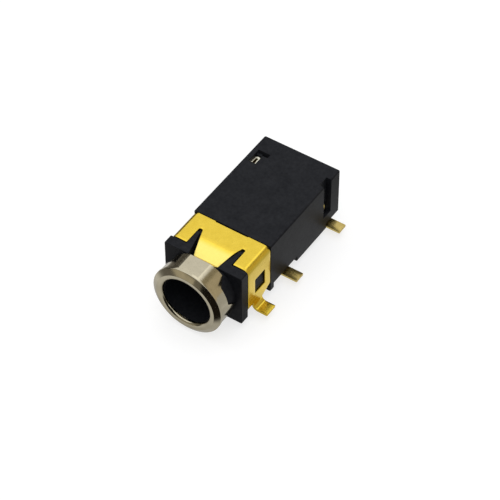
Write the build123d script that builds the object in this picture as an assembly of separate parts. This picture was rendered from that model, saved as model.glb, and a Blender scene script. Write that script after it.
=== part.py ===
from build123d import *
import os
from math import cos
from math import radians
from math import sin
from math import tan

# Audio jack socket for a 3.5 mm plug, soldered flat on a board. Sizes in millimetres.
# X is the width, +Y runs from the mouth to the rear, +Z points up, away from the board.
# The origin is on the plug's axis, at the front face of the housing's flange.

# Plug bore
bore_r = 1.80              # guide in the nose that a 3.5 mm plug runs in
chamber_relief = 0.20      # the chamber behind the guide is wider by this at its sides
tip_hole_r = 1.30          # hole in the rear wall behind the plug's tip
rear_wall = 0.60

# Moulded housing
body_w = 6.00
roof_wall = 0.35           # from the guide bore up to the top face
floor_wall = 0.35          # from the guide bore down to the board face
rear_tail = 1.50           # from the front edge of the rear foot to the rear face
flange_t = 0.70
flange_round = 0.10
body_round = 0.12
front_round = 0.05
rib_t = 0.37               # rib between the clip and the recess over the middle foot
rib_round = 0.14           # lower rear corner of that rib
clip_recess_rise = 0.15    # the recess beside the clip's foot rises this far above the foot
foot_head_room = 0.35      # how far the other recesses rise above a foot
recess_side_gap = 0.09     # the recesses start this far inside the upright plates
mid_recess_tail = 0.81     # the middle recess ends this far behind its foot
rear_recess_lead = 0.10    # the rear recess starts this far in front of its foot

# Nose ring, a plated shell pressed over the housing's round nose
nose_len = 2.08            # how far the ring stands out in front of the flange
nose_wall = 0.60           # wall of the housing's nose round the bore
ring_rear_gap = 0.20       # bare nose left between ring and flange
ring_wall = 0.18
ring_fit = 0.01            # radial clearance on the nose
lip_step = 0.05            # the lip stands this far above the barrel
lip_len = 0.46
lip_wall = 0.30
lip_bore_clear = 0.03
lip_lead = 0.17            # rounded lead-in at the mouth
lip_land = 0.25            # flat land round the lead-in
lip_cone = 33.0            # slope of the chamfer outside the land, in degrees
lip_round = 0.05           # round on both edges of the chamfer
lip_rear_round = 0.03
flat_depth = 0.11          # flat on top of the barrel, this far below its round
notch_angle = 67.0         # middle of each rear notch, from the top round to the side
notch_w_rear = 2.30
notch_w_deep = 1.40
notch_depth = 0.68
notch_round = 0.16
lug_gap = 0.05             # round the snap lug that fills each notch
lug_rise = 0.10            # the lug stands this far above the nose

# Sheet metal of the clip and the contacts
sheet = 0.18
flex_gap = 0.02            # clearance round the half-round root of each spring

# Clip over the housing
clip_sunk = 0.02           # top and sides of the clip lie this far below the housing's faces
clip_seat_gap = 0.01
clip_front_gap = 0.10      # open line between the flange and the clip
clip_edge_gap = 0.04       # open line behind the clip
clip_len = 2.57
clip_bend_r = 0.27         # inside radius of the two top bends
clip_nick_depth = 0.06     # the middle of the rear edge is set back this far
clip_nick_w = 2.50
clip_front_rise = 0.70     # lower end of the side plate's front edge, above the board
clip_rear_rise = 0.95
clip_foot_lead = 0.65      # the foot starts this far behind the clip's front edge
clip_foot_w = 1.00
clip_foot_bend_r = 0.32
window_lead = 0.80         # side window, behind the clip's front edge
window_len = 1.14
window_low = -0.65
window_h = 1.30
latch_gap = 0.05           # round the latch that fills each window
latch_rise = 0.09
latch_land = 0.25          # height of the latch's flat lower end
latch_root = 0.10          # the latch starts this deep in the wall

# Tongue of the clip, the slots beside it and the groove below it
tongue_root_lead = 0.85    # root line of the tongue, behind the clip's front edge
tongue_root_half = 1.33
tongue_edge_slope = 0.30   # half width gained for each millimetre to the rear
tongue_slope = 14.5        # fall of the tongue from its root, in degrees
tongue_knee_y = 0.66
tongue_crest_y = 0.38
tongue_end_y = 0.15
tongue_knee_r = 0.40
tongue_crest_bend_r = 0.20
tongue_press = 0.22        # the crest's middle line reaches this far inside the bore wall
tongue_end_rise = 0.14
tongue_end_round = 0.25    # corners of its end
slot_root_w = 0.47         # width of each slot beside the tongue's root
slot_tip_len = 0.63        # the slots run this far past the tongue's root
slot_tip_w = 0.26
slot_tip_r = 0.10
groove_side_gap = 0.28     # beside the tongue, at the flange's front face
groove_spread = 0.22       # half width gained for each millimetre to the rear
groove_front = 0.32        # how far the groove runs forward under the ring
groove_roof = 0.15         # left between the bore and the groove's floor there
groove_drop = 0.45         # clearance below the sloping tongue
groove_floor_lead = 0.10   # the level floor starts this far behind the tongue's root
ridge_clear = 0.05
ridge_end_gap = 0.30       # the ridges beside the groove end this far before the slots

# Contacts: a foot, an upright plate, a U bend and a spring blade with a rounded bump
plate_wall = 0.85          # from the bore to the outer face of the upright plates
u_inner_r = 0.09           # inside radius of the U bend
foot_reach = 1.00          # the feet end this far outside the housing
foot_w = 0.82
foot_bend_r = 0.15
mid_foot_gap = 1.22        # from the rib to the middle foot
foot_pitch = 5.30          # from the middle foot to the rear foot
mid_root_lead = 1.00       # root of the middle blades, behind the front edge of their foot
ring_one_root_lead = 0.48  # root of the first ring's blade, in front of its foot
tip_root_gap = 1.30        # root of the tip's blade, behind the middle blades' root
plate_len = 1.00
strip_h = 0.60             # height of the low strip that joins a plate to its foot
bump_r = 0.40              # bend radius of a blade over its bump
bump_press = 0.30          # corner of a blade's middle line there, inside the bore wall
blade_straight = 0.30      # straight stretch of a blade beside its root
blade_bend_r = 1.00        # bend at the end of that stretch
blade_end_round = 0.20
blade_half_h = 0.45        # blades of the rings and the plug detector, from the axis
blade_end_half_h = 0.28
blade_end_len = 0.50       # from the bump to the end of a middle blade
blade_end_back = 0.48      # the end stands back this far from the bump
mid_bump_dist = 1.70       # from the root of a middle blade to its bump
mid_root_high = 0.60       # top of the middle plates and roots, above the axis
ring_one_end_len = 0.57
ring_one_end_room = 0.73   # its blade ends this far behind the middle blades' root
ring_one_root_drop = 0.30  # top of its plate and root, below the housing's top
tip_low = -0.80            # lower edge of the tip's blade
tip_high = 0.12
tip_end_high = -0.16
tip_end_len = 1.07
tip_end_back = 1.12
tip_end_room = 0.68        # its blade ends this far before the rear wall
tip_root_high = 0.30
root_len = 0.55            # full-height stretch of a blade beside its root
root_taper = 0.25          # its height then falls over this length
pocket_gap = 0.04          # room round a contact's fixed part
bay_gap = 0.08             # room beside a blade
root_room_gap = 0.02       # the room at a root starts this far outside the guide bore

# Openings in the housing over the rear contacts
hole_lead = 0.67           # stepped hole, in front of the first ring's root
hole_tail = 0.57           # and behind it
hole_step_tail = 0.21      # its wide part starts this far behind the root
hole_plate_cover = 0.06    # the wall hides this much of the plate
hole_w_narrow = 0.55
hole_w_wide = 0.95
hole_floor = 1.35          # above the axis
ledge_w = 0.40             # small ledge behind the contact's bend
ledge_len = 0.22
ledge_drop = 0.23          # its top lies this far below the housing's top
side_slot_len = 0.90       # slot beside the rounded end of the tip's blade
side_slot_tail = 0.09      # it reaches this far behind that end
side_slot_in = 0.05        # it reaches this far inside the plates' outer faces
side_slot_floor = -0.84

# Locating pegs under the housing
peg_r = 0.45
peg_x = 1.25
peg_lead_y = 1.80          # in front of the rear foot
peg_lead = 0.07

# Sizes that follow from the ones above
big = 20.0                 # larger than the part, for open cuts
half_w = body_w / 2
top_h = bore_r + roof_wall
seat_h = bore_r + floor_wall
foot_top = -seat_h + sheet
recess_z = foot_top + foot_head_room
clip_recess_z = foot_top + clip_recess_rise
clip_front = flange_t + clip_front_gap
clip_rear = clip_front + clip_len
clip_x = half_w - clip_sunk
clip_top = top_h - clip_sunk
clip_mid_top = clip_top - sheet / 2
clip_foot_front = clip_front + clip_foot_lead
seat_x = clip_x - sheet - clip_seat_gap
seat_top = clip_top - sheet - clip_seat_gap
window_front = clip_front + window_lead
rear_part_front = clip_rear + clip_edge_gap
rib_rear = rear_part_front + rib_t
nose_boss_r = bore_r + nose_wall
barrel_r = nose_boss_r + ring_fit + ring_wall
lip_r = barrel_r + lip_step
flat_h = barrel_r - flat_depth
nose_boss_flat = flat_h - ring_wall - ring_fit
nose_boss_len = nose_len - lip_wall - ring_fit
tongue_root_y = clip_front + tongue_root_lead
slot_outer_x = tongue_root_half + slot_root_w
slot_tip_y = tongue_root_y + slot_tip_len
foot_tip_x = half_w + foot_reach
plate_x = bore_r + plate_wall
plate_mid_x = plate_x - sheet / 2
u_mid_r = u_inner_r + sheet / 2
blade_x = plate_mid_x - 2 * u_mid_r
bump_x = bore_r - bump_press
root_r = sheet / 2
seat_r = root_r + flex_gap
recess_x = plate_x - sheet - recess_side_gap
chamber_r = bore_r + chamber_relief
mid_foot_front = rib_rear + mid_foot_gap
rear_foot_front = mid_foot_front + foot_pitch
body_len = rear_foot_front + rear_tail
rear_wall_y = body_len - rear_wall
mid_root_y = mid_foot_front + mid_root_lead
ring_one_root_y = rear_foot_front - ring_one_root_lead
ring_one_end_dist = ring_one_root_y - mid_root_y - ring_one_end_room
tip_root_y = mid_root_y + tip_root_gap
tip_end_dist = rear_wall_y - tip_end_room - tip_root_y
mid_recess_rear = mid_foot_front + foot_w + mid_recess_tail
rear_recess_front = rear_foot_front - rear_recess_lead


def along_y(face, y_from, y_to):
    """Extrude a face drawn in X and Z from one Y to another."""
    plane = Plane(origin=(0, y_from, 0), x_dir=(1, 0, 0), z_dir=(0, -1, 0))
    return extrude(plane * face, amount=y_from - y_to)


def along_x(face, x_from, x_to):
    """Extrude a face drawn in Y and Z from one X to another."""
    plane = Plane(origin=(x_from, 0, 0), x_dir=(0, 1, 0), z_dir=(1, 0, 0))
    return extrude(plane * face, amount=x_to - x_from)


def along_z(face, z_from, z_to):
    """Extrude a face drawn in X and Y from one Z to another."""
    return extrude(Plane(origin=(0, 0, z_from)) * face, amount=z_to - z_from)


def block(x_from, x_to, y_from, y_to, z_from, z_to):
    """A plain box between two corners."""
    size = (x_to - x_from, y_to - y_from, z_to - z_from)
    middle = ((x_from + x_to) / 2, (y_from + y_to) / 2, (z_from + z_to) / 2)
    return Pos(*middle) * Box(*size)


def outline(*points):
    """A flat face with straight edges through the given corners."""
    return make_face(Polyline(*points, close=True))


def round_corners(face, radius, *corners):
    """Round the corners of a flat face that lie nearest to the given points."""
    chosen = [face.vertices().sort_by_distance(Vector(*corner))[0] for corner in corners]
    return fillet(chosen, radius)


def mirror_x(shape):
    return mirror(shape, about=Plane.YZ)


def disc(radius, y_from, y_to):
    """A cylinder round the plug's axis."""
    return along_y(Circle(radius), y_from, y_to)


def d_section(radius, flat, y_from, y_to):
    """A cylinder round the plug's axis with a flat cut along its top."""
    return disc(radius, y_from, y_to) & block(-big, big, -big, big, -big, flat)


def strip(points, radii, low, high):
    """Sheet metal standing on edge: a middle line in X and Y with rounded corners."""
    line = FilletPolyline(*points, radius=radii)
    return along_z(trace(line, line_width=sheet), low, high)


# Notches in the ring and the snap lugs of the nose share one outline

def notch_outline(inset):
    """Outline of a notch: distance round the barrel against distance from its rear edge."""
    deep = notch_depth - inset
    rear = notch_w_rear / 2 - inset
    inner = notch_w_deep / 2 - inset
    skirt = ring_rear_gap
    slope = (rear - inner) / deep
    outer = rear + slope * skirt
    face = outline((-outer, skirt), (-inner, -deep), (inner, -deep), (outer, skirt))
    return round_corners(face, notch_round, (-inner, -deep), (inner, -deep))


def notch_block(inset, side, r_to):
    """The notch outline pushed out along a radius of the barrel."""
    angle = radians(notch_angle)
    out = Vector(side * sin(angle), 0, cos(angle))
    round_barrel = Vector(side * cos(angle), 0, -sin(angle))
    origin = out * (bore_r + ring_fit) + Vector(0, -ring_rear_gap, 0)
    plane = Plane(origin=origin, x_dir=round_barrel, z_dir=out)
    face = notch_outline(inset)
    if plane.y_dir.Y < 0:
        face = mirror(face, about=Plane.XZ)
    return extrude(plane * face, amount=r_to - bore_r)


# Tongue and groove share the width of the tongue at each place along Y

def tongue_half(y):
    return tongue_root_half + tongue_edge_slope * (y - tongue_root_y)


def groove_half(y):
    return tongue_half(0) + groove_side_gap + groove_spread * y


# Contacts

class Contact:
    """Sizes of one contact, drawn for the right side; the left ones are mirrored."""

    def __init__(self, name, side, root_y, rearward, bump_dist, end_dist, end_back, low, high,
                 root_high, end_low, end_high, foot_front):
        self.name = name
        self.side = side                    # 1 on the right, -1 on the left
        self.root_y = root_y                # hinge line of the blade, beside the U bend
        self.way = 1 if rearward else -1    # which way the blade runs from its root
        self.bump_dist = bump_dist          # from the root to the bump
        self.end_dist = end_dist            # from the root to the blade's end
        self.end_x = bump_x + end_back      # the end stands back from the bump
        self.low = low
        self.high = high
        self.root_high = root_high          # top of the plate, the U bend and the root
        self.end_low = end_low
        self.end_high = end_high
        self.foot_front = foot_front

    def at(self, distance):
        """A place along Y at a distance from the root, on the way of the blade."""
        return self.root_y + self.way * distance

    def span(self, d_from, d_to):
        """The two ends, low one first, of a stretch along Y."""
        return sorted((self.at(d_from), self.at(d_to)))


def middle_contact(name, side):
    return Contact(name, side, root_y=mid_root_y, rearward=False,
                   bump_dist=mid_bump_dist, end_dist=mid_bump_dist + blade_end_len,
                   end_back=blade_end_back, low=-blade_half_h, high=blade_half_h,
                   root_high=mid_root_high, end_low=-blade_end_half_h,
                   end_high=blade_end_half_h, foot_front=mid_foot_front)


ring_two = middle_contact("ring_two", 1)
detect = middle_contact("detect", -1)
ring_one = Contact("ring_one", -1, root_y=ring_one_root_y, rearward=False,
                   bump_dist=ring_one_end_dist - ring_one_end_len,
                   end_dist=ring_one_end_dist, end_back=blade_end_back,
                   low=-blade_half_h, high=blade_half_h,
                   root_high=top_h - ring_one_root_drop, end_low=-blade_end_half_h,
                   end_high=blade_end_half_h, foot_front=rear_foot_front)
tip = Contact("tip", 1, root_y=tip_root_y, rearward=True,
              bump_dist=tip_end_dist - tip_end_len, end_dist=tip_end_dist,
              end_back=tip_end_back, low=tip_low, high=tip_high, root_high=tip_root_high,
              end_low=tip_low, end_high=tip_end_high, foot_front=rear_foot_front)
contacts = (ring_two, detect, ring_one, tip)


def blade(c):
    """Spring blade with a half-round root, a bump towards the plug and a rounded end."""
    points = (
        (blade_x, c.at(0)),
        (blade_x, c.at(blade_straight)),
        (bump_x, c.at(c.bump_dist)),
        (c.end_x, c.at(c.end_dist)),
    )
    shape = strip(points, (blade_bend_r, bump_r), c.low, c.root_high)
    y_root = c.at(-root_r)
    y_step = c.at(root_len)
    y_bump = c.at(c.bump_dist)
    y_end = c.at(c.end_dist + root_r)
    side_view = outline(
        (y_root, c.low), (y_root, c.root_high), (y_step, c.root_high),
        (c.at(root_len + root_taper), c.high), (y_bump, c.high), (y_end, c.end_high),
        (y_end, c.end_low), (y_bump, c.low),
    )
    side_view = round_corners(side_view, blade_end_round, (y_end, c.end_high),
                              (y_end, c.end_low))
    root = Pos(blade_x, c.root_y, c.low) * Cylinder(
        root_r, c.root_high - c.low, align=(Align.CENTER, Align.CENTER, Align.MIN))
    return (shape & along_x(side_view, 0, big)) + root


def foot(x_out, tip_x, bend_r, y_from, width, z_from):
    """A soldering foot: the sheet comes down, bends outwards and lies on the board."""
    face = outline(
        (x_out, z_from), (x_out, foot_top), (tip_x, foot_top), (tip_x, -seat_h),
        (x_out - sheet, -seat_h), (x_out - sheet, z_from),
    )
    face = round_corners(face, bend_r, (x_out, foot_top))
    face = round_corners(face, bend_r + sheet, (x_out - sheet, -seat_h))
    return along_y(face, y_from, y_from + width)


def plate_view(c):
    """The upright plate and the low strip to its foot, seen from the side."""
    low = foot_top + foot_bend_r
    near, far = c.span(0, plate_len)
    y_min = min(near, c.foot_front)
    y_max = max(far, c.foot_front + foot_w)
    corner = (Align.MIN, Align.MIN)
    upper = Rectangle(far - near, c.root_high - low, align=corner)
    lower = Rectangle(y_max - y_min, strip_h, align=corner)
    return Pos(near, low) * upper + Pos(y_min, low) * lower


def terminal(c):
    """The fixed part of a contact: foot, upright plate and U bend."""
    upright = along_x(plate_view(c), plate_x - sheet, plate_x)
    centre_x = blade_x + u_mid_r
    ring = Circle(u_mid_r + root_r) - Circle(u_mid_r - root_r)
    half = ring & (Pos(0, -c.way * big / 2) * Rectangle(big, big))
    bend = along_z(Pos(centre_x, c.root_y) * half, c.low, c.root_high)
    seat = Pos(blade_x, c.root_y, 0) * Cylinder(seat_r, big)
    shape = upright + bend + foot(plate_x, foot_tip_x, foot_bend_r, c.foot_front, foot_w,
                                  foot_top + foot_bend_r + strip_h / 2)
    return shape - seat


def pocket(c):
    """Room in the housing for one contact, open below so that it can be pressed in."""
    gap = pocket_gap
    outer = plate_x + gap
    beside = sheet / 2 + bay_gap
    y_root = c.at(-u_mid_r - root_r - gap)
    y_end = c.at(c.end_dist + root_r + gap)
    plan = outline(
        (outer, y_root), (blade_x - beside, y_root), (blade_x - beside, c.at(blade_straight)),
        (bump_x - beside, c.at(c.bump_dist)), (c.end_x - beside, y_end), (outer, y_end),
    )
    bay = along_z(plan, -big, c.high + gap)
    root_end = max(plate_len, root_len + root_taper) + gap
    root_front, root_rear = c.span(-u_mid_r - root_r - gap, root_end)
    root_room = block(bore_r + root_room_gap, outer, root_front, root_rear, -big,
                      c.root_high + gap)
    near, far = c.span(-gap, plate_len + gap)
    strip_front = min(near, c.foot_front - gap)
    strip_rear = max(far, c.foot_front + foot_w + gap)
    strip_top = foot_top + foot_bend_r + strip_h + gap
    strip_room = block(plate_x - sheet - gap, outer, strip_front, strip_rear, -big, strip_top)
    return bay + root_room + strip_room


# The pieces

def make_ring():
    mouth_r = bore_r + lip_bore_clear
    lead_r = mouth_r + lip_lead
    land_r = lead_r + lip_land
    front = -nose_len
    lip_rear = front + lip_len
    flare = (lip_r - land_r) * tan(radians(lip_cone))
    profile = outline(
        (mouth_r, front), (land_r, front), (lip_r, front + flare), (lip_r, lip_rear),
        (mouth_r, lip_rear),
    )
    profile = round_corners(profile, lip_lead, (mouth_r, front))
    profile = round_corners(profile, lip_round, (lip_r, front + flare), (land_r, front))
    profile = round_corners(profile, lip_rear_round, (lip_r, lip_rear))
    lip = revolve(profile, axis=Axis.Y)
    barrel = d_section(barrel_r, flat_h, lip_rear - lip_wall / 2, -ring_rear_gap)
    hollow = d_section(barrel_r - ring_wall, flat_h - ring_wall, front + lip_wall, 0)
    shell = lip + barrel - hollow
    for side in (-1, 1):
        shell -= notch_block(0, side, big)
    return shell


def tongue_path():
    """Middle line of the tongue in Y and Z, from its root to its end."""
    fall = tan(radians(tongue_slope))
    knee_z = clip_mid_top - (tongue_root_y - tongue_knee_y) * fall
    crest_z = bore_r - tongue_press + sheet / 2
    return (
        (tongue_root_y, clip_mid_top), (tongue_knee_y, knee_z), (tongue_crest_y, crest_z),
        (tongue_end_y, crest_z + tongue_end_rise),
    )


def tongue_root(radius, half):
    """A rod along the root line of the tongue."""
    plane = Plane(origin=(-half, 0, 0), x_dir=(0, 1, 0), z_dir=(1, 0, 0))
    return extrude(plane * (Pos(tongue_root_y, clip_mid_top) * Circle(radius)),
                   amount=2 * half)


def make_tongue():
    line = FilletPolyline(*tongue_path(), radius=(tongue_knee_r, tongue_crest_bend_r))
    shape = along_x(trace(line, line_width=sheet), -tongue_root_half, tongue_root_half)
    rear = tongue_root_y + sheet
    front = tongue_end_y - sheet / 2
    half = tongue_half(front)
    plan = outline(
        (-tongue_root_half, rear), (-tongue_root_half, tongue_root_y), (-half, front),
        (half, front), (tongue_root_half, tongue_root_y), (tongue_root_half, rear),
    )
    plan = round_corners(plan, tongue_end_round, (-half, front), (half, front))
    return (shape & along_z(plan, 0, big)) + tongue_root(root_r, tongue_root_half)


def clip_section(inset):
    """Inverted U of the clip, seen from the front, moved in by a distance."""
    x = clip_x - inset
    z = clip_top - inset
    bend = clip_bend_r + sheet - inset
    face = outline((-x, -seat_h), (x, -seat_h), (x, z), (-x, z))
    return round_corners(face, bend, (-x, z), (x, z))


def clip_opening():
    """Plan of the open part in front of the clip's top: two slots and the tongue's room."""
    tip_in = slot_outer_x - slot_tip_w
    face = outline(
        (-slot_outer_x, 0), (-slot_outer_x, slot_tip_y), (-tip_in, slot_tip_y),
        (-tongue_root_half, tongue_root_y), (tongue_root_half, tongue_root_y),
        (tip_in, slot_tip_y), (slot_outer_x, slot_tip_y), (slot_outer_x, 0),
    )
    return round_corners(face, slot_tip_r, (-slot_outer_x, slot_tip_y), (-tip_in, slot_tip_y),
                         (tip_in, slot_tip_y), (slot_outer_x, slot_tip_y))


def make_clip():
    sheet_face = clip_section(0) - clip_section(sheet)
    shape = along_y(sheet_face, clip_front, clip_rear)
    foot_rear = clip_foot_front + clip_foot_w
    bend_z = foot_top + clip_foot_bend_r
    front_low = -seat_h + clip_front_rise
    rear_low = -seat_h + clip_rear_rise
    side_view = outline(
        (clip_front, big), (clip_front, front_low), (clip_foot_front, front_low),
        (clip_foot_front, bend_z), (foot_rear, bend_z), (clip_rear, rear_low), (clip_rear, big),
    )
    shape = shape & along_x(side_view, -big, big)
    shape -= along_z(clip_opening(), 0, big)
    shape -= block(-clip_nick_w / 2, clip_nick_w / 2, clip_rear - clip_nick_depth, big, 0, big)
    shape -= block(-big, big, window_front, window_front + window_len, window_low,
                   window_low + window_h)
    shape -= tongue_root(seat_r, slot_outer_x)
    right_foot = foot(clip_x, foot_tip_x, clip_foot_bend_r, clip_foot_front, clip_foot_w,
                      bend_z)
    return shape + right_foot + mirror_x(right_foot)


def make_groove():
    """Room for the tongue in the flange, open into the bore behind the ring."""
    rear = slot_tip_y
    rear_half = groove_half(rear)
    front_half = groove_half(0)
    plan = outline(
        (-front_half, -groove_front), (-front_half, 0), (-rear_half, rear),
        (rear_half, rear), (front_half, 0), (front_half, -groove_front),
    )
    low = seat_top - tongue_root_y * tan(radians(tongue_slope)) - groove_drop
    roof = bore_r + groove_roof
    side_view = outline(
        (-groove_front, roof), (0, roof), (0, low), (tongue_crest_y, low),
        (tongue_root_y + groove_floor_lead, seat_top), (rear, seat_top), (rear, big),
        (-groove_front, big),
    )
    return along_z(plan, 0, big) & along_x(side_view, -big, big)


def make_chamber():
    """Room behind the guide bore, flat above and below and wider at the sides."""
    flats = block(-big, big, 0, body_len, -bore_r, bore_r)
    return disc(chamber_r, tongue_root_y, rear_wall_y) & flats


def make_mid_recess():
    """Recess over the middle foot; the rib in front of it has a rounded lower corner."""
    face = outline(
        (rib_rear - rib_t / 2, -big), (rib_rear - rib_t / 2, -seat_h), (rib_rear, -seat_h),
        (rib_rear, recess_z), (mid_recess_rear, recess_z), (mid_recess_rear, -big),
    )
    return along_x(round_corners(face, rib_round, (rib_rear, -seat_h)), recess_x, big)


def make_latch():
    """Ramped latch in the side window that keeps the clip from lifting."""
    low = window_low + latch_gap
    high = window_low + window_h - latch_gap
    face = outline(
        (seat_x - latch_root, low), (seat_x + latch_rise, low),
        (seat_x + latch_rise, low + latch_land), (seat_x, high), (seat_x - latch_root, high),
    )
    return along_y(face, window_front + latch_gap, window_front + window_len - latch_gap)


def body_section(radius, half_width, top):
    """Outline of the housing seen from the front, with rounded corners."""
    face = outline((-half_width, -seat_h), (half_width, -seat_h), (half_width, top),
                   (-half_width, top))
    return fillet(face.vertices(), radius)


def make_peg():
    """Stud that stands in a hole of the board, as long as the ring's lip hangs down."""
    peg = Cylinder(peg_r, lip_r - seat_h, align=(Align.CENTER, Align.CENTER, Align.MAX))
    return chamfer(peg.edges().sort_by(Axis.Z)[0], peg_lead)


def make_contact_hole():
    """Stepped hole in the top over the bend of the first ring's contact."""
    outer = -plate_x + hole_plate_cover
    front = ring_one.root_y - hole_lead
    step = ring_one.root_y + hole_step_tail
    rear = ring_one.root_y + hole_tail
    hole = block(outer, outer + hole_w_narrow, front, rear, hole_floor, big)
    hole += block(outer, outer + hole_w_wide, step, rear, hole_floor, big)
    ledge_front = ring_one.root_y + u_mid_r + root_r + pocket_gap
    return hole - block(outer, outer + ledge_w, ledge_front, ledge_front + ledge_len, 0,
                        top_h - ledge_drop)


def make_side_slot():
    """Open slot in the right side, beside the rounded end of the tip's blade."""
    rear = tip.at(tip.end_dist + root_r) + side_slot_tail
    return block(plate_x - side_slot_in, big, rear - side_slot_len, rear, side_slot_floor, big)


def make_body():
    """Flange, clip seat, rear part, ridges and round nose, with no holes yet."""
    flange = along_y(body_section(flange_round, half_w, top_h), 0, flange_t)
    flange = fillet(flange.faces().sort_by(Axis.Y)[0].edges(), front_round)
    rear_part = along_y(body_section(body_round, half_w, top_h), rear_part_front, body_len)
    rear_part = fillet(rear_part.faces().sort_by(Axis.Y)[-1].edges(), body_round)
    seat_face = outline((-seat_x, -seat_h), (seat_x, -seat_h), (seat_x, seat_top),
                        (-seat_x, seat_top))
    seat_face = round_corners(seat_face, clip_bend_r - clip_seat_gap, (-seat_x, seat_top),
                              (seat_x, seat_top))
    seat = along_y(seat_face, flange_t, rear_part_front)
    ridge_half = slot_outer_x - ridge_clear
    ridge = block(-ridge_half, ridge_half, flange_t, slot_tip_y - ridge_end_gap, seat_top, top_h)
    nose = d_section(nose_boss_r, nose_boss_flat, -nose_boss_len, 0)
    return flange + seat + rear_part + ridge + nose


def make_housing():
    shape = make_body()
    for side in (-1, 1):
        lug = notch_block(lug_gap, side, lip_r) & disc(nose_boss_r + lug_rise, -nose_len, 0)
        shape += lug
    shape -= make_groove()
    shape -= disc(bore_r, -nose_len, tongue_root_y)
    shape -= make_chamber()
    shape -= disc(tip_hole_r, 0, big)
    recesses = (
        block(recess_x, big, flange_t, rear_part_front, -big, clip_recess_z),
        make_mid_recess(),
        block(recess_x, big, rear_recess_front, big, -big, recess_z),
    )
    for recess in recesses:
        shape -= recess + mirror_x(recess)
    for c in contacts:
        room = pocket(c)
        if c.side < 0:
            room = mirror_x(room)
        shape -= room
    shape -= make_contact_hole()
    shape -= make_side_slot()
    latch = make_latch()
    shape += latch + mirror_x(latch)
    peg = make_peg()
    for x in (-peg_x, peg_x):
        shape += Pos(x, rear_foot_front - peg_lead_y, -seat_h) * peg
    return shape


def write_parts():
    os.makedirs("parts", exist_ok=True)
    export_step(make_housing(), "parts/housing.step")
    export_step(make_ring(), "parts/nose_ring.step")
    export_step(make_clip(), "parts/ground_clip.step")
    export_step(make_tongue(), "parts/sleeve_spring.step")
    for c in contacts:
        fixed = terminal(c)
        moving = blade(c)
        if c.side < 0:
            fixed = mirror_x(fixed)
            moving = mirror_x(moving)
        export_step(fixed, "parts/" + c.name + "_terminal.step")
        export_step(moving, "parts/" + c.name + "_spring.step")


write_parts()
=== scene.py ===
import math
from dataclasses import dataclass

import bmesh
import bpy
from mathutils import Matrix, Vector
from mathutils.geometry import delaunay_2d_cdt


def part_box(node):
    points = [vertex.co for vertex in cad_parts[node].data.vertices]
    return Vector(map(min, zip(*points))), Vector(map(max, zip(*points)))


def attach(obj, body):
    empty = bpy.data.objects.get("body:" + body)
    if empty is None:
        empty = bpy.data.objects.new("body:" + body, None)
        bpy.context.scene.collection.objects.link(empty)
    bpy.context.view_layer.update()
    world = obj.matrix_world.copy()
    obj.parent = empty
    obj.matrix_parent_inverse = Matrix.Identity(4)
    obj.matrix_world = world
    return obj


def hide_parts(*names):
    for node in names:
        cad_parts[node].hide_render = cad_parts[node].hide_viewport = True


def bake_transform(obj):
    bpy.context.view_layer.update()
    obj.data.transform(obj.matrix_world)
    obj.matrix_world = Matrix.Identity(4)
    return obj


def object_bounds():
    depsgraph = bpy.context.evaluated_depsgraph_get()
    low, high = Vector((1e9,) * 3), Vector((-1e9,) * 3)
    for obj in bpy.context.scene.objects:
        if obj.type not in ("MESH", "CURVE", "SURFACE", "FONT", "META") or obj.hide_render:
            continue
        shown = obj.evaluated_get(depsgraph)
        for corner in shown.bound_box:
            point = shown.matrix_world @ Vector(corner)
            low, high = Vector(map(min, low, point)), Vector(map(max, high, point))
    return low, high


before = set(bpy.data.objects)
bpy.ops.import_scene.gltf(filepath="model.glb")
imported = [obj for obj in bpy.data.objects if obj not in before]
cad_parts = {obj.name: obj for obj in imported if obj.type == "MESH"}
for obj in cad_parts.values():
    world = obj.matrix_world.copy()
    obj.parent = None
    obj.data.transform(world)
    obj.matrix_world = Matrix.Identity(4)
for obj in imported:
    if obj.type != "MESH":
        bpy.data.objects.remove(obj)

# Audio jack socket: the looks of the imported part, in the part's own frame.
# X is the width, +Y runs from the mouth to the rear, +Z points up.
# Shapes are worked out in millimetres and become metres when a mesh is made.

MM = 0.001
CAD_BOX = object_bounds()


class NodeBox:
    """Lowest and highest corners of a CAD node, in millimetres."""

    def __init__(self, node):
        low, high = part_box(node)
        self.x0, self.y0, self.z0 = (value / MM for value in low)
        self.x1, self.y1, self.z1 = (value / MM for value in high)


# Camera, at the photograph's angle: solved from the mouth's circle and the straight edges

CAMERA_AZIMUTH = 33.815
CAMERA_ELEVATION = 47.336
CAMERA_ROLL = -0.122
CAMERA_DISTANCE = 138.768 * MM
CAMERA_SIDE = -0.299 * MM
CAMERA_RISE = -3.233 * MM
CAMERA_AIM = Vector((0.0, 6.0 * MM, 2.5 * MM))
CAMERA_NEAR = 10 * MM
CAMERA_FAR = 3000 * MM
FOCAL_PIXELS = 2123.0
IMAGE_PIXELS = 500.0
SENSOR_MM = 36.0


def make_camera():
    """The camera, turned by its roll and moved aside in its own picture plane."""
    azimuth = math.radians(CAMERA_AZIMUTH)
    elevation = math.radians(CAMERA_ELEVATION)
    level = math.cos(elevation)
    back = Vector((math.sin(azimuth) * level, -math.cos(azimuth) * level, math.sin(elevation)))
    right = Vector((math.cos(azimuth), math.sin(azimuth), 0.0))
    turn = Matrix((right, back.cross(right), back)).transposed()
    turn = turn @ Matrix.Rotation(math.radians(CAMERA_ROLL), 3, "Z")
    place = CAMERA_AIM + turn @ Vector((CAMERA_SIDE, CAMERA_RISE, CAMERA_DISTANCE))
    data = bpy.data.cameras.new("camera")
    data.sensor_width = SENSOR_MM
    data.lens = FOCAL_PIXELS * SENSOR_MM / IMAGE_PIXELS
    data.clip_start = CAMERA_NEAR
    data.clip_end = CAMERA_FAR
    camera = bpy.data.objects.new("camera", data)
    camera.matrix_world = Matrix.Translation(place) @ turn.to_4x4()
    bpy.context.scene.collection.objects.link(camera)
    bpy.context.scene.camera = camera


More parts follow.
